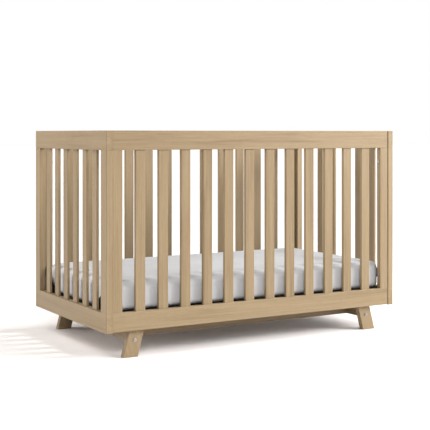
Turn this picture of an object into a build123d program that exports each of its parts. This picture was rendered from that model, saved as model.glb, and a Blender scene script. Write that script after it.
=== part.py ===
"""A full-size baby crib: slatted panels on a splayed-leg base, a hanging mattress support and a mattress.

Millimetres. +X runs along the crib, the front faces -Y, +Z is up. The origin is on the floor under the middle.
"""

from build123d import *
import math
import os

os.makedirs("parts", exist_ok=True)

# Overall sizes.
crib_length = 1385
crib_width = 752
floor_to_panels = 103
panel_height = 768
rail_height = 75

# End panels, which cap the front and back panels.
end_thickness = 27
end_stile_width = 51
end_slat_count = 6
end_slat_width = 40
end_slat_thickness = 11

# Front and back panels, set back a little behind the end panels' edges.
side_recess = 3
side_thickness = 23
side_rail_rise = 2
side_stile_width = 42
side_slat_count = 12
side_slat_width = 42
side_slat_thickness = 14

# Joinery.
mortise_depth = 12
glue_gap = 0.1
edge_radius = 1.5
seam_radius = 2.5
slat_edge_radius = 2
corner_radius = 3
dowel_radius = 4
dowel_fit = 0.05
dowel_length = 60
dowel_end_gap = 1
pin_length = 46
leg_pin_depth = 20
long_pin_depth = 31
short_pin_depth = 19
leg_pin_shift = 5
stretcher_pin_shift = 6
side_dowel_offset = 10
end_dowel_offset = 13

# Base: splayed board legs bolted behind the bottom rails, two cross rails and two stretchers.
leg_thickness = 26
leg_width = 62
leg_foot_inset = 83
leg_slope = 0.265
leg_above_panels = 53
leg_edge_radius = 2
base_thickness = 26
base_height = 70
base_drop = 48.5
base_dowel_rise = 46
stretcher_dowel_rise = 22
stretcher_set_back = 146

# Bolts, inserts and barrel nuts.
bolt_radius = 3
bolt_clearance = 0.25
head_radius = 6.5
head_height = 3.5
socket_radius = 2.3
socket_depth = 2
insert_radius = 4.5
insert_bore_gap = 0.05
insert_length = 14
tip_room = 5
panel_bolt_inset = 138
leg_bolt_drop = 38
washer_radius = 8
washer_thickness = 1.2
barrel_radius = 5
barrel_length = 22
barrel_depth = 35
barrel_hole_depth = 24
barrel_seat_gap = 0.5
bolt_overrun = 10
panel_bolt_overrun = 4
bore_overrun = 15
leg_rail_bolt_rise = 42
leg_rail_bolt_offset = 17
leg_rail_tip_gap = 2

# Mattress support: an angle-steel frame with a wire deck, hung by four hooked plates.
deck_height = 75
steel = 2
side_angle_flange = 28
side_angle_drop = 18
side_angle_clearance = 8
side_angle_end_gap = 6.5
deck_seat = 1
end_angle_flange = 25.5
end_angle_drop = 20
hanger_thickness = 3
hanger_gap = 1
hook_radius = 12
hook_set_in = 39
hook_height = 166
hook_lip_drop = 12
hook_inner_drop = 19
hanger_rivet_insets = [125, 152]
hanger_plate_inset = 168
hanger_plate_rise = 16
hanger_foot_inset = 112
hanger_neck_inset = 98
hanger_neck_rise = 43
corner_rivet_inset = 16
slot_gap = 0.3
shoulder_radius = 4
shoulder_thread = 10
hanger_head_radius = 7
hanger_head_gap = 0.6
support_steps = 3
support_step_height = 115
cross_bar_size = 16
cross_bar_wall = 1.5
cross_bar_spacing = 330
wire_radius = 1.5
wire_gap = 0.05
long_wire_count = 9
long_wire_spacing = 70
cross_wire_count = 12
cross_wire_spacing = 90
spring_radius = 4
spring_length = 42
spring_end_gap = 1
wire_end_gap = 0.5
rivet_radius = 2.5
rivet_fit = 0.1
rivet_head_radius = 4.5
rivet_head_height = 1.5

# Mattress.
mattress_length = 1312
mattress_width = 684
mattress_thickness = 117
mattress_corner_radius = 46
mattress_top_radius = 34
mattress_bottom_radius = 20
mattress_gap = 0.4
cover_thickness = 2.5
core_gap = 0.3

# Derived places.
panel_bottom = floor_to_panels
panel_top = panel_bottom + panel_height
lower_seam = panel_bottom + rail_height
upper_seam = panel_top - rail_height
end_outer = crib_length / 2
end_inner = end_outer - end_thickness
end_middle = end_outer - end_thickness / 2
side_outer = crib_width / 2 - side_recess
side_inner = side_outer - side_thickness
side_middle = side_outer - side_thickness / 2
stile_reach = end_inner - side_stile_width
deck_top = panel_bottom + deck_height
end_angle_face = end_inner - hanger_gap - hanger_thickness
side_angle_face = side_inner - side_angle_clearance
side_angle_end = end_angle_face - side_angle_end_gap
angle_top = deck_top - deck_seat
end_angle_top = angle_top - steel
end_angle_reach = crib_width / 2 - hook_set_in - hook_radius - 1
leg_bolt_z = panel_bottom - leg_bolt_drop
base_bottom = panel_bottom - base_drop
corner_rivet_x = end_angle_face - corner_rivet_inset
corner_rivet_y = (side_angle_face - side_angle_flange + end_angle_reach) / 2
hanger_rivet_z = end_angle_top - end_angle_drop / 2
hanger_rivet_y = [crib_width / 2 - inset for inset in hanger_rivet_insets]
hanger_slope_end = (crib_width / 2 - hanger_plate_inset, deck_top + hanger_plate_rise)

sides = {"front": -1, "back": 1}
ends = {"left": -1, "right": 1}


def save(piece, name):
    """Labels a finished piece and writes its STEP file."""
    piece.label = name
    export_step(piece, f"parts/{name}.step")


def spread(count, pitch):
    """Centres of count things, pitch apart and centred on 0."""
    return [(i - (count - 1) / 2) * pitch for i in range(count)]


def leg_inset(z):
    """How far a leg's middle line is from the crib's end at height z."""
    return leg_foot_inset + leg_width / 2 + leg_slope * z


def spots(plane_axis, points):
    """Planes at points, whose normals run along X, Y or Z."""
    normal = {"x": (1, 0, 0), "y": (0, 1, 0), "z": (0, 0, 1)}[plane_axis]
    across = (0, 1, 0) if plane_axis == "x" else (1, 0, 0)
    return [Plane(origin=point, x_dir=across, z_dir=normal) for point in points]


def bore(plane_axis, points, radius, depth, mode=Mode.SUBTRACT):
    """Round bars, or holes, centred on points, each depth long along one axis."""
    with Locations(*spots(plane_axis, points)):
        Cylinder(radius, depth, mode=mode)


def slat_centres(count, slat_width, span):
    """Centres of slats that share a span in equal gaps."""
    gap = (span - count * slat_width) / (count + 1)
    return spread(count, slat_width + gap)


side_slats = slat_centres(side_slat_count, side_slat_width, 2 * stile_reach)
end_opening = crib_width - 2 * end_stile_width
end_slats = slat_centres(end_slat_count, end_slat_width, end_opening)
side_stile_x = end_inner - side_stile_width / 2
end_stile_y = crib_width / 2 - end_stile_width / 2
panel_bolt_heights = [panel_bottom + panel_bolt_inset, panel_top - panel_bolt_inset]
hook_y = crib_width / 2 - hook_set_in
hook_heights = [
    panel_bottom + hook_height + step * support_step_height for step in range(support_steps)
]
side_dowel_x = [side_stile_x + off for off in (-side_dowel_offset, side_dowel_offset)]
end_dowel_y = [end_stile_y + off for off in (-end_dowel_offset, end_dowel_offset)]
leg_rail_z = panel_bottom + leg_rail_bolt_rise
leg_rail_x = [
    end_outer - leg_inset(leg_rail_z) + off for off in (-leg_rail_bolt_offset, leg_rail_bolt_offset)
]
cross_rail_x = end_outer - leg_inset(leg_bolt_z)
cross_rail_reach = side_inner - leg_thickness
cross_rail_inner = cross_rail_x - base_thickness / 2
cross_rail_outer = cross_rail_x + base_thickness / 2
stretcher_y = crib_width / 2 - stretcher_set_back - base_thickness / 2
base_middle = base_bottom + base_height / 2
base_dowel_z = base_bottom + base_dowel_rise
stretcher_dowel_z = [base_middle - stretcher_dowel_rise, base_middle + stretcher_dowel_rise]


def mirrored(points):
    """Each (x, y, z) with both signs of x and of y."""
    return [(sx * x, sy * y, z) for x, y, z in points for sx in (-1, 1) for sy in (-1, 1)]


def side_rail(sign, bottom):
    """A front or back rail, mortised for the slats, with dowel holes and, below, the legs' insert holes."""
    lower = bottom == panel_bottom
    seam = lower_seam if lower else upper_seam
    rise = side_rail_rise if lower else 0
    with BuildPart() as rail:
        with BuildSketch(Plane.XY.offset(bottom + rise)):
            with Locations((0, sign * side_middle)):
                Rectangle(2 * end_inner, side_thickness)
        extrude(amount=rail_height - rise)
        fillet(rail.edges().filter_by(Axis.Z), seam_radius)
        fillet(rail.edges().filter_by(Axis.X), edge_radius)
        with BuildSketch(Plane.XY.offset(seam - mortise_depth - glue_gap)):
            with Locations(*[(x, sign * side_middle) for x in side_slats]):
                Rectangle(side_slat_width + 2 * glue_gap, side_slat_thickness + 2 * glue_gap)
        extrude(amount=2 * (mortise_depth + glue_gap), mode=Mode.SUBTRACT)
        holes = [(sx * x, sign * side_middle, seam) for x in side_dowel_x for sx in (-1, 1)]
        bore("z", holes, dowel_radius + dowel_fit, dowel_length + 2 * dowel_end_gap)
        if lower:
            holes = [(sx * x, sign * side_inner, leg_rail_z) for x in leg_rail_x for sx in (-1, 1)]
            bore("y", holes, insert_radius, 2 * insert_length)
    return rail.part


def side_stile(x_sign, y_sign):
    """A front or back panel's upright, bored for the dowels and for the bolts to the end panel."""
    with BuildPart() as stile:
        with BuildSketch(Plane.XY.offset(lower_seam)):
            with Locations((x_sign * side_stile_x, y_sign * side_middle)):
                Rectangle(side_stile_width, side_thickness)
        extrude(amount=upper_seam - lower_seam)
        uprights = stile.edges().filter_by(Axis.Z).sort_by(Axis.X)
        at_end = uprights[-2:] if x_sign > 0 else uprights[:2]
        fillet(at_end, seam_radius)
        uprights = stile.edges().filter_by(Axis.Z).sort_by(Axis.X)
        inside = uprights[:2] if x_sign > 0 else uprights[-2:]
        fillet(inside, edge_radius)
        holes = [
            (x_sign * x, y_sign * side_middle, z)
            for x in side_dowel_x
            for z in (lower_seam, upper_seam)
        ]
        bore("z", holes, dowel_radius + dowel_fit, dowel_length + 2 * dowel_end_gap)
        holes = [(x_sign * side_stile_x, y_sign * side_middle, z) for z in panel_bolt_heights]
        bore("x", holes, bolt_radius + bolt_clearance, 2 * side_stile_width)
    return stile.part


def end_rail(sign, bottom):
    """An end panel's rail, which runs the crib's whole width."""
    lower = bottom == panel_bottom
    seam = lower_seam if lower else upper_seam
    with BuildPart() as rail:
        with BuildSketch(Plane.XY.offset(bottom)):
            with Locations((sign * end_middle, 0)):
                Rectangle(end_thickness, crib_width)
        extrude(amount=rail_height)
        uprights = rail.edges().filter_by(Axis.Z).sort_by(Axis.X)
        outer = uprights[-2:] if sign > 0 else uprights[:2]
        fillet(outer, corner_radius)
        inner = rail.edges().filter_by(Axis.Z).sort_by(Axis.X)
        inner = inner[:2] if sign > 0 else inner[-2:]
        fillet(inner, seam_radius)
        fillet(rail.edges().filter_by(Axis.Y), edge_radius)
        with BuildSketch(Plane.XY.offset(seam - mortise_depth - glue_gap)):
            with Locations(*[(sign * end_middle, y) for y in end_slats]):
                Rectangle(end_slat_thickness + 2 * glue_gap, end_slat_width + 2 * glue_gap)
        extrude(amount=2 * (mortise_depth + glue_gap), mode=Mode.SUBTRACT)
        holes = [(sign * end_middle, sy * y, seam) for y in end_dowel_y for sy in (-1, 1)]
        bore("z", holes, dowel_radius + dowel_fit, dowel_length + 2 * dowel_end_gap)
    return rail.part


def end_stile(x_sign, y_sign):
    """A corner upright, with inserts for the panel bolts and for the hanger bolts at each support height."""
    with BuildPart() as stile:
        with BuildSketch(Plane.XY.offset(lower_seam)):
            with Locations((x_sign * end_middle, y_sign * end_stile_y)):
                Rectangle(end_thickness, end_stile_width)
        extrude(amount=upper_seam - lower_seam)
        outer_corner = (x_sign * end_outer, y_sign * crib_width / 2, upper_seam)
        seam_corner = (x_sign * end_inner, y_sign * crib_width / 2, upper_seam)
        fillet(stile.edges().filter_by(Axis.Z).sort_by_distance(outer_corner)[0], corner_radius)
        fillet(stile.edges().filter_by(Axis.Z).sort_by_distance(seam_corner)[0], seam_radius)
        opening_side = stile.edges().filter_by(Axis.Z).sort_by(Axis.Y)
        opening_side = opening_side[:2] if y_sign > 0 else opening_side[-2:]
        fillet(opening_side, edge_radius)
        holes = [
            (x_sign * end_middle, y_sign * y, z) for y in end_dowel_y for z in (lower_seam, upper_seam)
        ]
        bore("z", holes, dowel_radius + dowel_fit, dowel_length + 2 * dowel_end_gap)
        holes = [(x_sign * end_inner, y_sign * side_middle, z) for z in panel_bolt_heights]
        holes += [(x_sign * end_inner, y_sign * hook_y, z) for z in hook_heights]
        bore("x", holes, insert_radius, 2 * insert_length)
        tips = [(x_sign * end_inner, y_sign * side_middle, z) for z in panel_bolt_heights]
        bore("x", tips, bolt_radius + bolt_clearance, 2 * (insert_length + tip_room))
    return stile.part


def side_slat_set(sign):
    """The upright slats of a front or back panel, their ends housed in the rails."""
    with BuildPart() as slats:
        with BuildSketch(Plane.XY.offset(lower_seam - mortise_depth)):
            with Locations(*[(x, sign * side_middle) for x in side_slats]):
                RectangleRounded(side_slat_width, side_slat_thickness, slat_edge_radius)
        extrude(amount=upper_seam - lower_seam + 2 * mortise_depth)
    return slats.part


def end_slat_set(sign):
    """The upright slats of an end panel."""
    with BuildPart() as slats:
        with BuildSketch(Plane.XY.offset(lower_seam - mortise_depth)):
            with Locations(*[(sign * end_middle, y) for y in end_slats]):
                RectangleRounded(end_slat_thickness, end_slat_width, slat_edge_radius)
        extrude(amount=upper_seam - lower_seam + 2 * mortise_depth)
    return slats.part


# Front, back and end panels.
for side, sign in sides.items():
    save(side_rail(sign, upper_seam), f"{side}_top_rail")
    save(side_rail(sign, panel_bottom), f"{side}_bottom_rail")
    save(side_slat_set(sign), f"{side}_slats")
    for end, end_sign in ends.items():
        save(side_stile(end_sign, sign), f"{side}_{end}_stile")

for end, sign in ends.items():
    save(end_rail(sign, upper_seam), f"{end}_end_top_rail")
    save(end_rail(sign, panel_bottom), f"{end}_end_bottom_rail")
    save(end_slat_set(sign), f"{end}_end_slats")
    for side, side_sign in sides.items():
        save(end_stile(sign, side_sign), f"{end}_end_{side}_stile")

# Dowels that join each stile to its two rails.
with BuildPart() as side_dowels:
    joints = [(x, side_middle, z) for x in side_dowel_x for z in (lower_seam, upper_seam)]
    bore("z", mirrored(joints), dowel_radius, dowel_length, Mode.ADD)
save(side_dowels.part, "side_panel_dowels")

with BuildPart() as end_dowels:
    joints = [(end_middle, y, z) for y in end_dowel_y for z in (lower_seam, upper_seam)]
    bore("z", mirrored(joints), dowel_radius, dowel_length, Mode.ADD)
save(end_dowels.part, "end_panel_dowels")


def leg(x_sign, y_sign):
    """A flat board leg that leans out along the crib towards the floor."""
    top = panel_bottom + leg_above_panels
    outer_foot = end_outer - leg_foot_inset
    outer_top = outer_foot - leg_slope * top
    outline = [
        (x_sign * outer_foot, 0),
        (x_sign * (outer_foot - leg_width), 0),
        (x_sign * (outer_top - leg_width), top),
        (x_sign * outer_top, top),
    ]
    with BuildPart() as board:
        with BuildSketch(Plane.XZ.offset(-y_sign * (side_inner - leg_thickness / 2))):
            with BuildLine():
                Polyline(*outline, close=True)
            make_face()
        extrude(amount=leg_thickness / 2, both=True)
        long_edges = board.edges().filter_by(lambda edge: edge.length > 2 * leg_width)
        fillet(long_edges, leg_edge_radius)
        holes = [(x_sign * cross_rail_x, y_sign * side_inner, leg_bolt_z)]
        holes += [(x_sign * x, y_sign * side_inner, leg_rail_z) for x in leg_rail_x]
        bore("y", holes, bolt_radius + bolt_clearance, 4 * leg_thickness)
        socket = [(x_sign * cross_rail_x, y_sign * cross_rail_reach, base_dowel_z)]
        bore("y", socket, dowel_radius + dowel_fit, 2 * leg_pin_depth)
    return board.part


def cross_rail(sign):
    """A board on edge between a front leg and a back leg."""
    with BuildPart() as rail:
        with BuildSketch(Plane.XY.offset(base_bottom)):
            with Locations((sign * cross_rail_x, 0)):
                Rectangle(base_thickness, 2 * cross_rail_reach)
        extrude(amount=base_height)
        fillet(rail.edges().filter_by(Axis.Y), edge_radius)
        ends_y = [(sign * cross_rail_x, sy * cross_rail_reach, leg_bolt_z) for sy in (-1, 1)]
        bore("y", ends_y, bolt_radius + bolt_clearance, 2 * (barrel_depth + bore_overrun))
        ends_y = [(sign * cross_rail_x, sy * cross_rail_reach, base_dowel_z) for sy in (-1, 1)]
        bore("y", ends_y, dowel_radius + dowel_fit, 2 * long_pin_depth)
        nuts = [
            (sign * cross_rail_inner, sy * (cross_rail_reach - barrel_depth), leg_bolt_z)
            for sy in (-1, 1)
        ]
        bore("x", nuts, barrel_radius, 2 * barrel_hole_depth)
        across = [(sign * cross_rail_x, sy * stretcher_y, base_middle) for sy in (-1, 1)]
        bore("x", across, bolt_radius + bolt_clearance, 2 * base_thickness)
        pins = [
            (sign * cross_rail_inner, sy * stretcher_y, z)
            for sy in (-1, 1)
            for z in stretcher_dowel_z
        ]
        bore("x", pins, dowel_radius + dowel_fit, 2 * short_pin_depth)
    return rail.part


def stretcher(sign):
    """A long board on edge between the two cross rails."""
    with BuildPart() as board:
        with BuildSketch(Plane.XY.offset(base_bottom)):
            with Locations((0, sign * stretcher_y)):
                Rectangle(2 * cross_rail_inner, base_thickness)
        extrude(amount=base_height)
        fillet(board.edges().filter_by(Axis.X), edge_radius)
        tips = [(sx * cross_rail_inner, sign * stretcher_y, base_middle) for sx in (-1, 1)]
        bore("x", tips, bolt_radius + bolt_clearance, 2 * (barrel_depth + bore_overrun))
        pins = [
            (sx * cross_rail_inner, sign * stretcher_y, z)
            for sx in (-1, 1)
            for z in stretcher_dowel_z
        ]
        bore("x", pins, dowel_radius + dowel_fit, 2 * long_pin_depth)
        inner_face = sign * (stretcher_y - base_thickness / 2)
        nuts = [(sx * (cross_rail_inner - barrel_depth), inner_face, base_middle) for sx in (-1, 1)]
        bore("y", nuts, barrel_radius, 2 * barrel_hole_depth)
    return board.part


# Base boards.
for side, y_sign in sides.items():
    for end, x_sign in ends.items():
        save(leg(x_sign, y_sign), f"{side}_{end}_leg")
    save(stretcher(y_sign), f"{side}_stretcher")
for end, sign in ends.items():
    save(cross_rail(sign), f"{end}_cross_rail")

with BuildPart() as base_dowels:
    leg_pins = [(cross_rail_x, cross_rail_reach - leg_pin_shift, base_dowel_z)]
    bore("y", mirrored(leg_pins), dowel_radius, pin_length, Mode.ADD)
    stretcher_pins = [(cross_rail_inner - stretcher_pin_shift, stretcher_y, z) for z in stretcher_dowel_z]
    bore("x", mirrored(stretcher_pins), dowel_radius, pin_length, Mode.ADD)
save(base_dowels.part, "base_dowels")


def bolts(heads, inward, shank_length, washer=0.0):
    """Button-head bolts: a head seated at each point of heads, its shank running along inward(point)."""
    with BuildPart() as group:
        for point in heads:
            into = Vector(*inward(point))
            seat = Vector(*point) - into * washer
            outward = Plane(origin=seat, z_dir=-into)
            with BuildSketch(outward):
                Circle(head_radius)
            extrude(amount=head_height)
            with BuildSketch(outward.offset(head_height - socket_depth)):
                RegularPolygon(socket_radius, 6)
            extrude(amount=socket_depth, mode=Mode.SUBTRACT)
            with BuildSketch(outward):
                Circle(bolt_radius)
            extrude(amount=-shank_length)
        rims = group.edges().filter_by(GeomType.CIRCLE)
        rims = rims.filter_by(lambda edge: abs(edge.radius - head_radius) < 0.01)
        tops = [
            edge
            for edge in rims
            if min(
                abs((edge.arc_center - Vector(*point)).length - head_height - washer) for point in heads
            )
            < 0.01
        ]
        fillet(tops, head_height / 2)
    return group.part


def sleeves(axis, centres, outer_radius, length):
    """Threaded inserts or barrel nuts, as short tubes centred on points."""
    with BuildPart() as group:
        bore(axis, centres, outer_radius, length, Mode.ADD)
        bore(axis, centres, bolt_radius + insert_bore_gap, length + 2)
    return group.part


def towards_end(point):
    """The unit direction along X away from the crib's middle."""
    return (math.copysign(1, point[0]), 0, 0)


def towards_middle(point):
    """The unit direction along X towards the crib's middle."""
    return (-math.copysign(1, point[0]), 0, 0)


def towards_side(point):
    """The unit direction along Y away from the crib's middle."""
    return (0, math.copysign(1, point[1]), 0)


def towards_centre(point):
    """The unit direction along Y towards the crib's middle."""
    return (0, -math.copysign(1, point[1]), 0)


# Bolts that hold the front and back panels to the end panels, from inside.
panel_heads = mirrored([(stile_reach, side_middle, z) for z in panel_bolt_heights])
panel_shank = side_stile_width + insert_length + panel_bolt_overrun
save(bolts(panel_heads, towards_end, panel_shank), "panel_bolts")
insert_middle = end_inner + insert_length / 2
panel_inserts = mirrored([(insert_middle, side_middle, z) for z in panel_bolt_heights])
save(sleeves("x", panel_inserts, insert_radius, insert_length), "panel_inserts")

# Bolts through the legs into the cross rails' ends.
leg_heads = mirrored([(cross_rail_x, side_inner, leg_bolt_z)])
leg_shank = leg_thickness + barrel_depth + bolt_overrun
save(bolts(leg_heads, towards_centre, leg_shank, washer_thickness), "leg_bolts")
with BuildPart() as leg_washers:
    middles = mirrored([(cross_rail_x, side_inner + washer_thickness / 2, leg_bolt_z)])
    bore("y", middles, washer_radius, washer_thickness, Mode.ADD)
    bore("y", middles, bolt_radius + bolt_clearance, 2 * washer_thickness)
save(leg_washers.part, "leg_washers")
nut_middle = cross_rail_inner + barrel_hole_depth - barrel_seat_gap - barrel_length / 2
leg_nuts = mirrored([(nut_middle, cross_rail_reach - barrel_depth, leg_bolt_z)])
with BuildPart() as leg_barrel_nuts:
    bore("x", leg_nuts, barrel_radius - dowel_fit, barrel_length, Mode.ADD)
    threads = mirrored([(cross_rail_x, cross_rail_reach - barrel_depth, leg_bolt_z)])
    bore("y", threads, bolt_radius + insert_bore_gap, 4 * barrel_radius)
save(leg_barrel_nuts.part, "leg_barrel_nuts")

# Bolts through the legs into the front and back bottom rails.
leg_rail_heads = mirrored([(x, cross_rail_reach, leg_rail_z) for x in leg_rail_x])
save(bolts(leg_rail_heads, towards_side, leg_thickness + insert_length - leg_rail_tip_gap), "leg_rail_bolts")
leg_rail_inserts = mirrored([(x, side_inner + insert_length / 2, leg_rail_z) for x in leg_rail_x])
save(sleeves("y", leg_rail_inserts, insert_radius, insert_length), "leg_rail_inserts")

# Bolts through the cross rails into the stretchers' ends.
stretcher_heads = mirrored([(cross_rail_outer, stretcher_y, base_middle)])
stretcher_shank = base_thickness + barrel_depth + bolt_overrun
save(bolts(stretcher_heads, towards_middle, stretcher_shank), "stretcher_bolts")
nut_inset = stretcher_y - base_thickness / 2 + barrel_hole_depth - barrel_seat_gap - barrel_length / 2
with BuildPart() as stretcher_barrel_nuts:
    middles = mirrored([(cross_rail_inner - barrel_depth, nut_inset, base_middle)])
    bore("y", middles, barrel_radius - dowel_fit, barrel_length, Mode.ADD)
    threads = mirrored([(cross_rail_inner - barrel_depth, stretcher_y, base_middle)])
    bore("x", threads, bolt_radius + insert_bore_gap, 4 * barrel_radius)
save(stretcher_barrel_nuts.part, "stretcher_barrel_nuts")

# Shoulder bolts that carry the mattress support, and the inserts for every support height.
head_face = end_inner - hanger_gap - hanger_thickness - hanger_head_gap
with BuildPart() as hanger_bolts:
    threads = mirrored([(end_inner + shoulder_thread / 2, hook_y, hook_heights[0])])
    bore("x", threads, bolt_radius, shoulder_thread, Mode.ADD)
    shoulders = mirrored([((end_inner + head_face) / 2, hook_y, hook_heights[0])])
    bore("x", shoulders, shoulder_radius, end_inner - head_face, Mode.ADD)
    heads = mirrored([(head_face - head_height / 2, hook_y, hook_heights[0])])
    bore("x", heads, hanger_head_radius, head_height, Mode.ADD)
    sockets = mirrored([(head_face - head_height, hook_y, hook_heights[0])])
    bore("x", sockets, socket_radius, 2 * socket_depth)
save(hanger_bolts.part, "hanger_bolts")
hanger_inserts = mirrored([(insert_middle, hook_y, z) for z in hook_heights])
save(sleeves("x", hanger_inserts, insert_radius, insert_length), "hanger_inserts")


def side_angle(sign):
    """The support's long edge rail: an angle with its flat flange on top, pointing inward."""
    face = side_angle_face
    outline = [
        (face, angle_top),
        (face, angle_top - side_angle_drop),
        (face - steel, angle_top - side_angle_drop),
        (face - steel, angle_top - steel),
        (face - side_angle_flange, angle_top - steel),
        (face - side_angle_flange, angle_top),
    ]
    rivets = [(sx * corner_rivet_x, sign * corner_rivet_y, angle_top) for sx in (-1, 1)]
    with BuildPart() as angle:
        with BuildSketch(Plane.YZ):
            with BuildLine():
                Polyline(*[(sign * y, z) for y, z in outline], close=True)
            make_face()
        extrude(amount=side_angle_end, both=True)
        corner = angle.edges().filter_by(Axis.X).sort_by_distance((0, sign * face, angle_top))[0]
        fillet(corner, steel)
        bore("z", rivets, rivet_radius + rivet_fit, 4 * steel)
    return angle.part


def end_angle(sign):
    """The support's short edge rail, whose flat flange lies under the long rails' flanges."""
    face = end_angle_face
    top = end_angle_top
    outline = [
        (face, top),
        (face, top - end_angle_drop),
        (face - steel, top - end_angle_drop),
        (face - steel, top - steel),
        (face - end_angle_flange, top - steel),
        (face - end_angle_flange, top),
    ]
    corner_rivets = [(sign * corner_rivet_x, sy * corner_rivet_y, top) for sy in (-1, 1)]
    plate_rivets = [(sign * face, sy * y, hanger_rivet_z) for y in hanger_rivet_y for sy in (-1, 1)]
    with BuildPart() as angle:
        with BuildSketch(Plane.XZ):
            with BuildLine():
                Polyline(*[(sign * x, z) for x, z in outline], close=True)
            make_face()
        extrude(amount=end_angle_reach, both=True)
        corner = angle.edges().filter_by(Axis.Y).sort_by_distance((sign * face, 0, top))[0]
        fillet(corner, steel)
        bore("z", corner_rivets, rivet_radius + rivet_fit, 4 * steel)
        bore("x", plate_rivets, rivet_radius + rivet_fit, 4 * steel)
    return angle.part


def hanger(x_sign, y_sign):
    """A steel plate riveted to the end rail, rising to a hook whose slot opens downward over its bolt."""
    slot = shoulder_radius + slot_gap
    hook_z = hook_heights[0]
    bottom = end_angle_top - end_angle_drop
    lean = math.atan2(hook_z + hook_radius - hanger_slope_end[1], hook_y - hanger_slope_end[0])
    shoulder_y = hook_y - hook_radius * math.sin(lean)
    shoulder_z = hook_z + hook_radius * math.cos(lean)
    outline = [
        (shoulder_y, shoulder_z),
        hanger_slope_end,
        (hanger_slope_end[0], bottom),
        (crib_width / 2 - hanger_foot_inset, bottom),
        (crib_width / 2 - hanger_neck_inset, bottom + hanger_neck_rise),
        (hook_y - slot, hook_z - hook_inner_drop),
        (hook_y - slot, hook_z),
    ]
    with BuildPart() as plate:
        with BuildSketch(Plane.YZ.offset(x_sign * (end_angle_face + hanger_thickness / 2))):
            with BuildLine():
                Polyline(*[(y_sign * y, z) for y, z in outline], (y_sign * hook_y, hook_z), close=True)
            make_face()
            with Locations((y_sign * hook_y, hook_z)):
                Circle(hook_radius)
            with Locations((y_sign * (hook_y + (hook_radius + slot) / 2), hook_z - hook_lip_drop / 2)):
                Rectangle(hook_radius - slot, hook_lip_drop)
            with Locations((y_sign * hook_y, hook_z)):
                Circle(slot, mode=Mode.SUBTRACT)
            with Locations((y_sign * hook_y, hook_z - hook_radius)):
                Rectangle(2 * slot, 2 * hook_radius, mode=Mode.SUBTRACT)
        extrude(amount=hanger_thickness / 2, both=True)
        holes = [(x_sign * end_angle_face, y_sign * y, hanger_rivet_z) for y in hanger_rivet_y]
        bore("x", holes, rivet_radius + rivet_fit, 4 * hanger_thickness)
    return plate.part


# The support's edge rails, hangers, cross bars and rivets.
for side, sign in sides.items():
    save(side_angle(sign), f"support_{side}_rail")
for end, sign in ends.items():
    save(end_angle(sign), f"support_{end}_rail")
    for side, side_sign in sides.items():
        save(hanger(sign, side_sign), f"{side}_{end}_hanger")

with BuildPart() as cross_bars:
    middle_z = end_angle_top - cross_bar_size / 2
    with BuildSketch(Plane.XZ):
        with Locations(*[(x, middle_z) for x in (-cross_bar_spacing, 0, cross_bar_spacing)]):
            RectangleRounded(cross_bar_size, cross_bar_size, cross_bar_wall)
            hollow = cross_bar_size - 2 * cross_bar_wall
            Rectangle(hollow, hollow, mode=Mode.SUBTRACT)
    extrude(amount=side_angle_face - steel, both=True)
save(cross_bars.part, "support_cross_bars")

with BuildPart() as corner_rivets:
    shank = 2 * steel
    under = angle_top - shank
    places = mirrored([(corner_rivet_x, corner_rivet_y, under + shank / 2)])
    bore("z", places, rivet_radius, shank, Mode.ADD)
    places = mirrored([(corner_rivet_x, corner_rivet_y, under - rivet_head_height / 2)])
    bore("z", places, rivet_head_radius, rivet_head_height, Mode.ADD)
save(corner_rivets.part, "corner_rivets")

with BuildPart() as hanger_rivets:
    shank = hanger_thickness + steel
    far = end_angle_face - steel
    places = mirrored([(far + shank / 2, y, hanger_rivet_z) for y in hanger_rivet_y])
    bore("x", places, rivet_radius, shank, Mode.ADD)
    places = mirrored([(far - rivet_head_height / 2, y, hanger_rivet_z) for y in hanger_rivet_y])
    bore("x", places, rivet_head_radius, rivet_head_height, Mode.ADD)
save(hanger_rivets.part, "hanger_rivets")

# The wire deck: wires along and across, drawn tight by a coil spring at each end of the long ones.
spring_outer = end_angle_face - end_angle_flange - spring_end_gap
spring_inner = spring_outer - spring_length
long_wire_z = deck_top - wire_radius + wire_gap
cross_wire_z = long_wire_z - 2 * wire_radius - wire_gap
long_wire_y = spread(long_wire_count, long_wire_spacing)
cross_wire_x = spread(cross_wire_count, cross_wire_spacing)

with BuildPart() as long_wires:
    reach = 2 * (spring_inner - wire_end_gap)
    bore("x", [(0, y, long_wire_z) for y in long_wire_y], wire_radius, reach, Mode.ADD)
save(long_wires.part, "deck_long_wires")

with BuildPart() as cross_wires:
    reach = 2 * (side_angle_face - steel - wire_end_gap)
    bore("y", [(x, 0, cross_wire_z) for x in cross_wire_x], wire_radius, reach, Mode.ADD)
save(cross_wires.part, "deck_cross_wires")

with BuildPart() as springs:
    spring_x = (spring_inner + spring_outer) / 2
    middles = [(sx * spring_x, y, deck_top - spring_radius) for y in long_wire_y for sx in (-1, 1)]
    bore("x", middles, spring_radius, spring_length, Mode.ADD)
save(springs.part, "deck_springs")


def pad(inset):
    """A block with rounded uprights and rounded rims, smaller than the mattress by inset all round."""
    with BuildPart() as block:
        with BuildSketch(Plane.XY.offset(deck_top + mattress_gap + inset)):
            RectangleRounded(
                mattress_length - 2 * inset, mattress_width - 2 * inset, mattress_corner_radius - inset
            )
        extrude(amount=mattress_thickness - 2 * inset)
        fillet(block.faces().sort_by(Axis.Z)[-1].edges(), mattress_top_radius - inset)
        fillet(block.faces().sort_by(Axis.Z)[0].edges(), mattress_bottom_radius - inset)
    return block.part


# The mattress: a foam core inside a fabric cover.
save(pad(cover_thickness + core_gap), "mattress_core")
with BuildPart() as cover:
    add(pad(0))
    add(pad(cover_thickness), mode=Mode.SUBTRACT)
save(cover.part, "mattress_cover")
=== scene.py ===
"""Looks for the baby crib: light wood, black steel, zinc bolts and a soft mattress, on a white floor."""

import math

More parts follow.
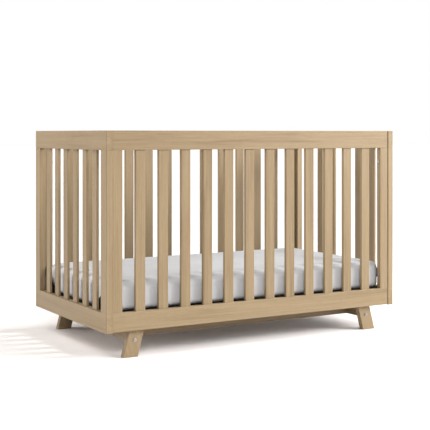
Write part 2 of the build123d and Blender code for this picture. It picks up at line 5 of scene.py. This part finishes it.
import bmesh
import bpy
import numpy as np
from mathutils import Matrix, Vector, noise


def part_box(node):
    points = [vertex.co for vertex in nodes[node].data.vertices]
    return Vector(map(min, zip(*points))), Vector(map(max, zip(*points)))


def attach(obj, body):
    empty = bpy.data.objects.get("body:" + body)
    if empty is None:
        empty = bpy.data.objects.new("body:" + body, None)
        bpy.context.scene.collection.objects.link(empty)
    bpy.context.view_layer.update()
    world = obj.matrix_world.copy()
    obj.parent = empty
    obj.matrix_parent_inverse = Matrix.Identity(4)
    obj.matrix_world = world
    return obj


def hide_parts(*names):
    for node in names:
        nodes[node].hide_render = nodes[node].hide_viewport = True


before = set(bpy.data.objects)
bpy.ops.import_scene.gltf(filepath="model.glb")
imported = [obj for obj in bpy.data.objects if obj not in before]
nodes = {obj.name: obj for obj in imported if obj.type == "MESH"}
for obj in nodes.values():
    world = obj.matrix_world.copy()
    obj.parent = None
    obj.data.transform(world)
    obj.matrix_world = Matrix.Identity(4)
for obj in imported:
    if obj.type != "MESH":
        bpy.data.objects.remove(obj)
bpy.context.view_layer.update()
MM = 0.001


# ---------------------------------------------------------------- camera, floor and light

CAMERA_TURN = math.radians(30.135)   # from looking along +Y, towards +X
CAMERA_PLACE = (-2.302, -3.964, 0.858)
CAMERA_LENS = 87.02
CAMERA_SENSOR = 36.0
CAMERA_SHIFT = -0.1886
CAMERA_REACH = 200
FLOOR_REACH = 60
FLOOR_COLOUR = (0.84, 0.806, 0.795, 1)
FILL_COLOUR = (1.0, 0.96, 0.93, 1)
FILL_STRENGTH = 0.10
CRIB_MIDDLE = Vector((0, 0, 0.45))
SUN_AWAY = 6.0
GLOW_HEIGHT = 0.15


def make_camera():
    """A level camera at the front left, its frame shifted down so that uprights stay upright."""
    data = bpy.data.cameras.new("camera")
    data.sensor_width = CAMERA_SENSOR
    data.lens = CAMERA_LENS
    data.shift_y = CAMERA_SHIFT
    data.clip_end = CAMERA_REACH
    camera = bpy.data.objects.new("camera", data)
    camera.location = CAMERA_PLACE
    camera.rotation_euler = (math.pi / 2, 0, -CAMERA_TURN)
    bpy.context.scene.collection.objects.link(camera)
    bpy.context.scene.camera = camera


def make_floor():
    """A plain white floor out to the horizon."""
    mesh = bpy.data.meshes.new("floor")
    corners = [(x * FLOOR_REACH, y * FLOOR_REACH, 0) for x, y in ((-1, -1), (1, -1), (1, 1), (-1, 1))]
    mesh.from_pydata(corners, [], [(0, 1, 2, 3)])
    floor = bpy.data.objects.new("floor", mesh)
    bpy.context.scene.collection.objects.link(floor)
    material = bpy.data.materials.new("floor")
    material.use_nodes = True
    shader = material.node_tree.nodes["Principled BSDF"]
    shader.inputs["Base Color"].default_value = FLOOR_COLOUR
    shader.inputs["Roughness"].default_value = 0.9
    shader.inputs["Specular IOR Level"].default_value = 0.2
    mesh.materials.append(material)


def aim(obj, direction):
    """Turns a lamp to shine along direction."""
    obj.rotation_euler = Vector(direction).to_track_quat("-Z", "Y").to_euler()


def from_direction(azimuth, elevation):
    """The unit vector towards a lamp: azimuth 0 is the front and 90 the right, in degrees."""
    a, e = math.radians(azimuth), math.radians(elevation)
    return Vector((math.sin(a) * math.cos(e), -math.cos(a) * math.cos(e), math.sin(e)))


def sun(name, azimuth, elevation, strength, spread):
    """A far soft light; spread is its angular size in degrees."""
    data = bpy.data.lights.new(name, "SUN")
    data.energy = strength
    data.angle = math.radians(spread)
    lamp = bpy.data.objects.new(name, data)
    source = from_direction(azimuth, elevation)
    aim(lamp, -source)
    lamp.location = source * SUN_AWAY
    bpy.context.scene.collection.objects.link(lamp)


def softbox(name, azimuth, elevation, strength, distance, size, colour=(1, 1, 1)):
    """A round soft lamp aimed at the crib's middle, of a strength there as a sun's."""
    data = bpy.data.lights.new(name, "AREA")
    data.shape = "DISK"
    data.size = size
    data.energy = strength * math.pi * distance ** 2
    data.color = colour
    lamp = bpy.data.objects.new(name, data)
    lamp.location = CRIB_MIDDLE + from_direction(azimuth, elevation) * distance
    aim(lamp, CRIB_MIDDLE - lamp.location)
    bpy.context.scene.collection.objects.link(lamp)


def under_glow(name, x, size, energy, colour):
    """A faint warm lamp under the crib, for the light that floor and boards throw about there."""
    data = bpy.data.lights.new(name, "AREA")
    data.shape = "RECTANGLE"
    data.size, data.size_y = size
    data.energy = energy
    data.color = colour
    lamp = bpy.data.objects.new(name, data)
    lamp.location = (x, 0, GLOW_HEIGHT)
    lamp.visible_camera = False
    bpy.context.scene.collection.objects.link(lamp)


def make_light():
    """A key and a soft lamp at the front right, fill all round, and a white surround behind the crib."""
    world = bpy.data.worlds.new("surround")
    bpy.context.scene.world = world
    world.use_nodes = True
    tree = world.node_tree
    dim = tree.nodes["Background"]
    dim.inputs["Color"].default_value = FILL_COLOUR
    dim.inputs["Strength"].default_value = FILL_STRENGTH
    seen = tree.nodes.new("ShaderNodeBackground")
    seen.inputs["Color"].default_value = (1, 1, 1, 1)
    seen.inputs["Strength"].default_value = 1.0
    path = tree.nodes.new("ShaderNodeLightPath")
    mix = tree.nodes.new("ShaderNodeMixShader")
    tree.links.new(path.outputs["Is Camera Ray"], mix.inputs[0])
    tree.links.new(dim.outputs[0], mix.inputs[1])
    tree.links.new(seen.outputs[0], mix.inputs[2])
    tree.links.new(mix.outputs[0], tree.nodes["World Output"].inputs["Surface"])
    sun("key", 46, 26, 2.5, 22)
    softbox("right_glow", 59, 25, 2.9, 3.2, 1.7)
    sun("front_fill", -30, 30, 1.5, 34)
    softbox("left_glow", 252, 42, 1.1, 2.6, 1.5, (1.0, 0.98, 0.93))
    sun("right_high", 76, 66, 1.25, 8)
    sun("overhead", 0, 88, 0.2, 40)
    sun("right_low", 90, 14, 0.8, 20)
    sun("back_high", 238, 52, 0.5, 22)
    sun("back_low", 235, 13, 1.45, 24)
    under_glow("under_glow", 0, (1.0, 0.56), 0.13, (1.0, 0.84, 0.68))
    under_glow("under_glow_left", -0.55, (0.24, 0.62), 0.24, (1.0, 0.86, 0.78))
    bpy.context.scene.view_settings.view_transform = "Standard"


make_camera()
make_floor()
make_light()


# ---------------------------------------------------------------- materials

class Shade:
    """Small helper around one material's node tree."""

    def __init__(self, name):
        self.material = bpy.data.materials.new(name)
        self.material.use_nodes = True
        self.tree = self.material.node_tree
        self.shader = self.tree.nodes["Principled BSDF"]

    def node(self, kind, **values):
        made = self.tree.nodes.new(kind)
        for key, value in values.items():
            setattr(made, key, value)
        return made

    def link(self, source, target):
        self.tree.links.new(source, target)

    def put(self, target, value):
        """Links a socket, or sets a plain value."""
        if isinstance(value, bpy.types.NodeSocket):
            self.link(value, target)
        else:
            target.default_value = value

    def math(self, operation, a, b=0.0):
        made = self.node("ShaderNodeMath", operation=operation)
        self.put(made.inputs[0], a)
        self.put(made.inputs[1], b)
        return made.outputs[0]

    def place(self):
        """The point in the row frame at rest, in metres."""
        return self.node("ShaderNodeTexCoord").outputs["Object"]

    def stretch(self, point, scale, turn=(0, 0, 0), shift=(0, 0, 0)):
        """Scales, turns and shifts a point."""
        made = self.node("ShaderNodeMapping", vector_type="POINT")
        self.put(made.inputs["Vector"], point)
        made.inputs["Scale"].default_value = scale
        made.inputs["Rotation"].default_value = turn
        self.put(made.inputs["Location"], shift)
        return made.outputs[0]

    def noise(self, point, scale=1.0, detail=3.0, roughness=0.5, distortion=0.0):
        made = self.node("ShaderNodeTexNoise")
        self.put(made.inputs["Vector"], point)
        made.inputs["Scale"].default_value = scale
        made.inputs["Detail"].default_value = detail
        made.inputs["Roughness"].default_value = roughness
        made.inputs["Distortion"].default_value = distortion
        return made.outputs["Fac"]

    def ramp(self, value, stops):
        """A colour or grey ramp; stops are (position, colour)."""
        made = self.node("ShaderNodeValToRGB")
        self.put(made.inputs[0], value)
        elements = made.color_ramp.elements
        while len(elements) < len(stops):
            elements.new(0.5)
        for element, (position, colour) in zip(elements, stops):
            element.position = position
            element.color = (*colour, 1)
        return made.outputs[0]

    def mix(self, share, a, b):
        made = self.node("ShaderNodeMix", data_type="RGBA", blend_type="MIX")
        self.put(made.inputs[0], share)
        self.put(made.inputs[6], a)
        self.put(made.inputs[7], b)
        return made.outputs[2]

    def bump(self, height, strength, distance):
        made = self.node("ShaderNodeBump")
        made.inputs["Strength"].default_value = strength
        made.inputs["Distance"].default_value = distance
        self.link(height, made.inputs["Height"])
        self.link(made.outputs[0], self.shader.inputs["Normal"])


LEG_LEAN = math.atan(0.265)
WOOD_LIGHT = (0.268, 0.196, 0.112)
WOOD_MIDDLE = (0.229, 0.164, 0.089)
WOOD_DARK = (0.160, 0.109, 0.054)


def wood(name, along, seed, pitch=0.0, lean=0.0):
    """Light oak with its grain along one axis. With pitch, boards that far apart get their own grain."""
    s = Shade(name)
    point = s.place()
    if lean:
        point = s.stretch(point, (1, 1, 1), turn=(0, lean, 0))
    split = s.node("ShaderNodeSeparateXYZ")
    s.link(point, split.inputs[0])
    x, y, z = split.outputs
    order = {"x": (x, y, z), "y": (y, z, x), "z": (z, x, y)}[along]
    turned = s.node("ShaderNodeCombineXYZ")
    for socket, value in zip(turned.inputs, order):
        s.link(value, socket)
    point = turned.outputs[0]
    offset = (seed * 3.17, seed * 1.31, seed * 0.73)
    tone = 0.5
    if pitch:
        row = y if name.endswith("end_slats") else x
        index = s.math("FLOOR", s.math("DIVIDE", row, pitch))
        random = s.node("ShaderNodeTexWhiteNoise", noise_dimensions="1D")
        s.link(s.math("ADD", index, seed * 7.7), random.inputs["W"])
        spread = s.node("ShaderNodeVectorMath", operation="SCALE")
        s.link(random.outputs["Color"], spread.inputs[0])
        spread.inputs["Scale"].default_value = 9.0
        shift = s.node("ShaderNodeVectorMath", operation="ADD")
        s.link(spread.outputs[0], shift.inputs[0])
        shift.inputs[1].default_value = offset
        offset = shift.outputs[0]
        tone = random.outputs["Value"]
    point = s.stretch(point, (1, 1, 1), shift=offset)

    drift = s.noise(s.stretch(point, (1.1, 9, 9)), detail=2)
    rings_at = s.node("ShaderNodeVectorMath", operation="ADD")
    s.link(s.stretch(point, (0.9, 34, 34)), rings_at.inputs[0])
    wander = s.node("ShaderNodeVectorMath", operation="SCALE")
    s.link(drift, wander.inputs[0])
    wander.inputs["Scale"].default_value = 3.0
    s.link(wander.outputs[0], rings_at.inputs[1])
    rings = s.noise(rings_at.outputs[0], detail=4, roughness=0.6, distortion=0.35)
    streaks = s.noise(s.stretch(point, (3.2, 150, 150)), detail=5, roughness=0.68)
    pores = s.noise(s.stretch(point, (26, 1150, 1150)), detail=2)
    pore_mask = s.ramp(pores, [(0.34, (1, 1, 1)), (0.44, (0, 0, 0))])

    value = s.math("ADD", s.math("MULTIPLY", rings, 0.45), s.math("MULTIPLY", streaks, 0.55))
    value = s.math("ADD", value, s.math("MULTIPLY", s.math("SUBTRACT", drift, 0.5), 0.25))
    value = s.math("ADD", value, s.math("MULTIPLY", s.math("SUBTRACT", tone, 0.5), 0.10))
    colour = s.ramp(value, [(0.30, WOOD_DARK), (0.47, WOOD_MIDDLE), (0.66, WOOD_LIGHT)])
    colour = s.mix(s.math("MULTIPLY", pore_mask, 0.22), colour, (*[c * 0.55 for c in WOOD_DARK], 1))
    s.link(colour, s.shader.inputs["Base Color"])
    s.link(s.math("ADD", s.math("MULTIPLY", streaks, 0.16), 0.42), s.shader.inputs["Roughness"])
    s.shader.inputs["Specular IOR Level"].default_value = 0.34
    s.shader.inputs["Coat Weight"].default_value = 0.05
    s.shader.inputs["Coat Roughness"].default_value = 0.35
    height = s.math("SUBTRACT", s.math("MULTIPLY", streaks, 0.5), s.math("MULTIPLY", pore_mask, 0.5))
    s.bump(height, 0.25, 0.0004)
    return s.material


def black_steel(name, rough, base):
    """Powder-coated steel with a fine orange-peel surface."""
    s = Shade(name)
    point = s.place()
    grain = s.noise(point, scale=900, detail=3)
    patches = s.noise(point, scale=24, detail=3)
    lighter = tuple(c * 1.9 for c in base)
    s.link(s.mix(patches, (*base, 1), (*lighter, 1)), s.shader.inputs["Base Color"])
    s.link(s.math("ADD", s.math("MULTIPLY", patches, 0.18), rough - 0.09), s.shader.inputs["Roughness"])
    s.shader.inputs["Specular IOR Level"].default_value = 0.12
    s.bump(grain, 0.3, 0.0002)
    return s.material


def metal(name, colour, rough):
    """Bare plated metal, with faint machining marks and duller patches."""
    s = Shade(name)
    point = s.place()
    marks = s.noise(s.stretch(point, (300, 2400, 300)), detail=3)
    patches = s.noise(point, scale=160, detail=2)
    dull = tuple(c * 0.78 for c in colour)
    s.link(s.mix(patches, (*dull, 1), (*colour, 1)), s.shader.inputs["Base Color"])
    s.shader.inputs["Metallic"].default_value = 1.0
    s.link(s.math("ADD", s.math("MULTIPLY", marks, 0.2), rough - 0.1), s.shader.inputs["Roughness"])
    s.bump(marks, 0.15, 0.0001)
    return s.material


def paint(node, material):
    """Gives a CAD node's slots one material."""
    mesh = nodes[node].data
    if not mesh.materials:
        mesh.materials.append(material)
    for i in range(len(mesh.materials)):
        mesh.materials[i] = material


SIDES = ("front", "back")
ENDS = ("left", "right")
SIDE_SLAT_WIDTH = 42 * MM
END_SLAT_WIDTH = 40 * MM


def board_pitch(node, count, axis, width):
    """Distance between the boards of a slat node, from the box of all of them."""
    low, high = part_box(node)
    return (high[axis] - low[axis] - width) / (count - 1)


def paint_wood():
    """Wood for every board, its grain along the board."""
    seed = 1
    for side in SIDES:
        for part in ("top_rail", "bottom_rail"):
            paint(f"{side}_{part}", wood(f"wood_{side}_{part}", "x", seed))
            seed += 1
        paint(f"{side}_stretcher", wood(f"wood_{side}_stretcher", "x", seed))
        for end in ENDS:
            seed += 1
            paint(f"{side}_{end}_stile", wood(f"wood_{side}_{end}_stile", "z", seed))
            lean = LEG_LEAN if end == "left" else -LEG_LEAN
            paint(f"{side}_{end}_leg", wood(f"wood_{side}_{end}_leg", "z", seed + 40, lean=lean))
        seed += 1
        pitch = board_pitch(f"{side}_slats", 12, 0, SIDE_SLAT_WIDTH)
        paint(f"{side}_slats", wood(f"wood_{side}_slats", "z", seed, pitch=pitch))
    for end in ENDS:
        for part in ("top_rail", "bottom_rail"):
            seed += 1
            paint(f"{end}_end_{part}", wood(f"wood_{end}_end_{part}", "y", seed))
        seed += 1
        paint(f"{end}_cross_rail", wood(f"wood_{end}_cross_rail", "y", seed))
        for side in SIDES:
            seed += 1
            paint(f"{end}_end_{side}_stile", wood(f"wood_{end}_end_{side}_stile", "z", seed))
        seed += 1
        pitch = board_pitch(f"{end}_end_slats", 6, 1, END_SLAT_WIDTH)
        paint(f"{end}_end_slats", wood(f"wood_{end}_end_slats", "z", seed, pitch=pitch))
    dowel = wood("wood_dowels", "z", 77)
    for node in ("side_panel_dowels", "end_panel_dowels", "base_dowels"):
        paint(node, dowel)


def paint_metal():
    """Zinc bolts, brass inserts and black steel."""
    zinc = metal("zinc_plated", (0.42, 0.40, 0.38), 0.38)
    brass = metal("brass", (0.62, 0.46, 0.22), 0.32)
    for node in ("panel_bolts", "leg_bolts", "leg_washers", "leg_barrel_nuts", "leg_rail_bolts",
                 "stretcher_bolts", "stretcher_barrel_nuts", "hanger_bolts"):
        paint(node, zinc)
    for node in ("panel_inserts", "leg_rail_inserts", "hanger_inserts"):
        paint(node, brass)
    coated = black_steel("black_powder_coat", rough=0.65, base=(0.004, 0.004, 0.0045))
    for side in SIDES:
        paint(f"support_{side}_rail", coated)
        for end in ENDS:
            paint(f"{side}_{end}_hanger", coated)
    for end in ENDS:
        paint(f"support_{end}_rail", coated)
    for node in ("support_cross_bars", "corner_rivets", "hanger_rivets"):
        paint(node, coated)
    wire = black_steel("black_wire", rough=0.5, base=(0.008, 0.008, 0.0085))
    for node in ("deck_long_wires", "deck_cross_wires", "deck_springs"):
        paint(node, wire)


def mattress_cloth():
    """Pale woven cotton."""
    s = Shade("mattress_cloth")
    point = s.place()
    warp = s.noise(s.stretch(point, (300, 2600, 2600)), detail=2)
    weft = s.noise(s.stretch(point, (2600, 300, 2600)), detail=2)
    weave = s.math("MULTIPLY", s.math("ADD", warp, weft), 0.5)
    cloud = s.noise(point, scale=7, detail=3)
    tone = s.math("ADD", s.math("MULTIPLY", weave, 0.5), s.math("MULTIPLY", cloud, 0.5))
    colour = s.ramp(tone, [(0.36, (0.460, 0.466, 0.480)), (0.62, (0.512, 0.518, 0.531))])
    s.link(colour, s.shader.inputs["Base Color"])
    s.link(s.math("ADD", s.math("MULTIPLY", weave, 0.1), 0.82), s.shader.inputs["Roughness"])
    s.shader.inputs["Subsurface Weight"].default_value = 0.35
    s.shader.inputs["Subsurface Radius"].default_value = (0.03, 0.03, 0.03)
    s.shader.inputs["Subsurface Scale"].default_value = 1.0
    s.shader.inputs["Specular IOR Level"].default_value = 0.2
    s.bump(weave, 0.35, 0.0004)
    return s.material


# ---------------------------------------------------------------- mattress

PAD_INSET = 4 * MM
PAD_TOP_INSET = 1 * MM
PAD_CORNER = 44 * MM
PAD_TOP_RIM = 42 * MM
PAD_BOTTOM_RIM = 14 * MM
PAD_VOXEL = 9 * MM
PAD_SWELL = 3 * MM
PAD_PRESSURE = 4.0
PAD_FRAMES = 20
FOLD_DEPTH = 0.55 * MM
PUCKER_DEPTH = 0.5 * MM
DIMPLE_DEPTH = 0.5 * MM


def new_piece(name, bm, material, body):
    """Turns a bmesh into a smooth piece that rides on a body."""
    mesh = bpy.data.meshes.new(name)
    bm.to_mesh(mesh)
    bm.free()
    mesh.materials.append(material)
    mesh.polygons.foreach_set("use_smooth", [True] * len(mesh.polygons))
    obj = bpy.data.objects.new(name, mesh)
    bpy.context.scene.collection.objects.link(obj)
    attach(obj, body)
    return obj


def rounded_block(low, high, corner, top_rim, bottom_rim):
    """A block with rounded uprights and rounded top and bottom rims."""
    bm = bmesh.new()
    bmesh.ops.create_cube(bm, size=1.0)
    middle, size = (low + high) / 2, high - low
    for v in bm.verts:
        v.co = Vector([middle[i] + v.co[i] * size[i] for i in range(3)])
    uprights = [e for e in bm.edges if abs(e.verts[0].co.z - e.verts[1].co.z) > size.z / 2]
    bmesh.ops.bevel(bm, geom=uprights, offset=corner, segments=12, profile=0.5, affect="EDGES")
    for level, rim in ((high.z, top_rim), (low.z, bottom_rim)):
        edges = [e for e in bm.edges if all(abs(v.co.z - level) < 1e-6 for v in e.verts)]
        bmesh.ops.bevel(bm, geom=edges, offset=rim, segments=8, profile=0.5, affect="EDGES")
    return bm


def apply_modifiers(obj):
    """Bakes a piece's modifiers into its mesh."""
    graph = bpy.context.evaluated_depsgraph_get()
    baked = bpy.data.meshes.new_from_object(obj.evaluated_get(graph))
    old = obj.data
    obj.modifiers.clear()
    obj.data = baked
    bpy.data.meshes.remove(old)


def points_of(mesh):
    """A mesh's vertex places as rows of an array."""
    flat = np.empty(len(mesh.vertices) * 3, dtype=np.float64)
    mesh.vertices.foreach_get("co", flat)
    return flat.reshape(-1, 3)


def inflate(obj, pressure, cap):
    """Swells a closed cloth for some frames, moving no point further than cap."""
    scene = bpy.context.scene
    before = points_of(obj.data)
    cloth = obj.modifiers.new("swell", "CLOTH")
    cloth.settings.quality = 4
    cloth.settings.mass = 0.3
    cloth.settings.tension_stiffness = 15
    cloth.settings.compression_stiffness = 15
    cloth.settings.bending_stiffness = 0.6
    cloth.settings.use_pressure = True
    cloth.settings.uniform_pressure_force = pressure
    cloth.settings.effector_weights.gravity = 0
    cloth.point_cache.frame_start = 1
    cloth.point_cache.frame_end = PAD_FRAMES
    for number in range(1, PAD_FRAMES + 1):
        scene.frame_set(number)
    graph = bpy.context.evaluated_depsgraph_get()
    after = points_of(obj.evaluated_get(graph).data)
    obj.modifiers.clear()
    scene.frame_set(1)
    move = after - before
    length = np.linalg.norm(move, axis=1, keepdims=True)
    move *= np.minimum(1.0, cap / np.maximum(length, 1e-9))
    obj.data.vertices.foreach_set("co", (before + move).ravel())


def crease(obj, middle, half, rest):
    """Soft wrinkles along the rims, puckers at the corners, and a flat underside at height rest."""
    mesh = obj.data
    normals = [v.normal.copy() for v in mesh.vertices]
    for v, normal in zip(mesh.vertices, normals):
        p = v.co - middle
        along_end = max(0.0, abs(p.x) - (half.x - PAD_CORNER)) / PAD_CORNER
        along_side = max(0.0, abs(p.y) - (half.y - PAD_CORNER)) / PAD_CORNER
        at_corner = min(1.0, along_end * along_side * 1.6)
        at_rim = math.exp(-(((abs(normal.z) - 0.62) / 0.3) ** 2))
        run, across = (p.y, p.x) if along_end > along_side else (p.x, p.y)
        long_fold = noise.noise(Vector((run * 3.1, across * 34, p.z * 34))) * 0.6
        long_fold += noise.noise(Vector((run * 7.3, across * 70, p.z * 70)) + Vector((5, 5, 5))) * 0.3
        past_side = p.y - math.copysign(half.y - PAD_CORNER, p.y)
        past_end = p.x - math.copysign(half.x - PAD_CORNER, p.x)
        turn = math.atan2(past_side, past_end)
        pucker = math.sin(turn * 22 + 2.5 * noise.noise(p * 30)) * at_corner * at_rim
        slow = noise.noise(p * 4.5)
        top = max(0.0, normal.z)
        rise = FOLD_DEPTH * long_fold * (0.3 + 0.5 * at_rim)
        v.co += normal * (rise + PUCKER_DEPTH * pucker + DIMPLE_DEPTH * slow * top)
        v.co.z = max(v.co.z, rest)
    mesh.update()


def make_mattress():
    """The padded mattress: swollen, strongly rounded, lightly creased."""
    low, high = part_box("mattress_cover")
    inset = Vector((PAD_INSET, PAD_INSET, 0))
    rest = low.z
    top = high - inset - Vector((0, 0, PAD_TOP_INSET))
    block = rounded_block(low + inset, top, PAD_CORNER, PAD_TOP_RIM, PAD_BOTTOM_RIM)
    pad = new_piece("mattress_pad", block, cloth, "mattress")
    remesh = pad.modifiers.new("remesh", "REMESH")
    remesh.mode = "VOXEL"
    remesh.voxel_size = PAD_VOXEL
    apply_modifiers(pad)
    inflate(pad, PAD_PRESSURE, PAD_SWELL)
    smooth = pad.modifiers.new("smooth", "SUBSURF")
    smooth.levels = 1
    smooth.render_levels = 1
    apply_modifiers(pad)
    crease(pad, (low + high) / 2, (high - low) / 2, rest)
    pad.data.polygons.foreach_set("use_smooth", [True] * len(pad.data.polygons))
    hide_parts("mattress_cover")


# ---------------------------------------------------------------- coil springs

COIL_TURNS = 11
COIL_STEPS = 14
COIL_WIRE = 0.8 * MM
COIL_RING = 3.0 * MM
COIL_SIDES = 6
COIL_ROWS = 9
EYE_STEPS = 18
EYE_STEP = math.radians(18)


def sweep(bm, path, radius, sides):
    """A round wire along a list of points."""
    rings = []
    turns = [2 * math.pi * k / sides for k in range(sides)]
    side = Vector((0, 1, 0))
    for i, point in enumerate(path):
        ahead = (path[min(i + 1, len(path) - 1)] - path[max(i - 1, 0)]).normalized()
        side = (side - ahead * side.dot(ahead)).normalized()
        up = ahead.cross(side)
        around = [side * (math.cos(turn) * radius) + up * (math.sin(turn) * radius) for turn in turns]
        rings.append([bm.verts.new(point + offset) for offset in around])
    for a, b in zip(rings, rings[1:]):
        for k in range(sides):
            bm.faces.new((a[k], a[(k + 1) % sides], b[(k + 1) % sides], b[k]))
    bm.faces.new(reversed(rings[0]))
    bm.faces.new(rings[-1])


def coil_path(x_in, x_out, y, z):
    """A helix with a round eye at each end, from x_in to x_out."""
    reach = x_out - x_in
    sign = math.copysign(1, reach)
    body_in, body_out = x_in + sign * COIL_RING, x_out - sign * COIL_RING
    turn = COIL_TURNS * 2 * math.pi
    path = []
    for i in range(EYE_STEPS, 0, -1):
        angle = EYE_STEP * i
        x = x_in + sign * COIL_RING * (1 - math.cos(angle))
        path.append(Vector((x, y, z + COIL_RING * math.sin(angle))))
    for i in range(COIL_TURNS * COIL_STEPS + 1):
        share = i / (COIL_TURNS * COIL_STEPS)
        angle = share * turn
        x = body_in + (body_out - body_in) * share
        path.append(Vector((x, y + COIL_RING * math.sin(angle), z + COIL_RING * math.cos(angle))))
    for i in range(1, EYE_STEPS + 1):
        angle = EYE_STEP * i
        x = x_out + sign * COIL_RING * (math.sin(angle) - 0.5)
        path.append(Vector((x, y, z + COIL_RING * math.cos(angle))))
    return path


def make_springs():
    """A coil spring at each end of each long deck wire."""
    low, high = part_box("deck_springs")
    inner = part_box("deck_long_wires")[1].x
    z = (low.z + high.z) / 2
    pitch = (high.y - low.y - (high.z - low.z)) / (COIL_ROWS - 1)
    bm = bmesh.new()
    for i in range(COIL_ROWS):
        y = (i - (COIL_ROWS - 1) / 2) * pitch
        for sign in (-1, 1):
            sweep(bm, coil_path(sign * inner, sign * high.x, y, z), COIL_WIRE, COIL_SIDES)
    bmesh.ops.recalc_face_normals(bm, faces=bm.faces)
    wire = bpy.data.materials["black_wire"]
    coils = new_piece("deck_coils", bm, wire, "mattress_support")
    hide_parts("deck_springs")


paint_wood()
paint_metal()
cloth = mattress_cloth()
paint("mattress_cover", cloth)
paint("mattress_core", cloth)
make_mattress()
make_springs()
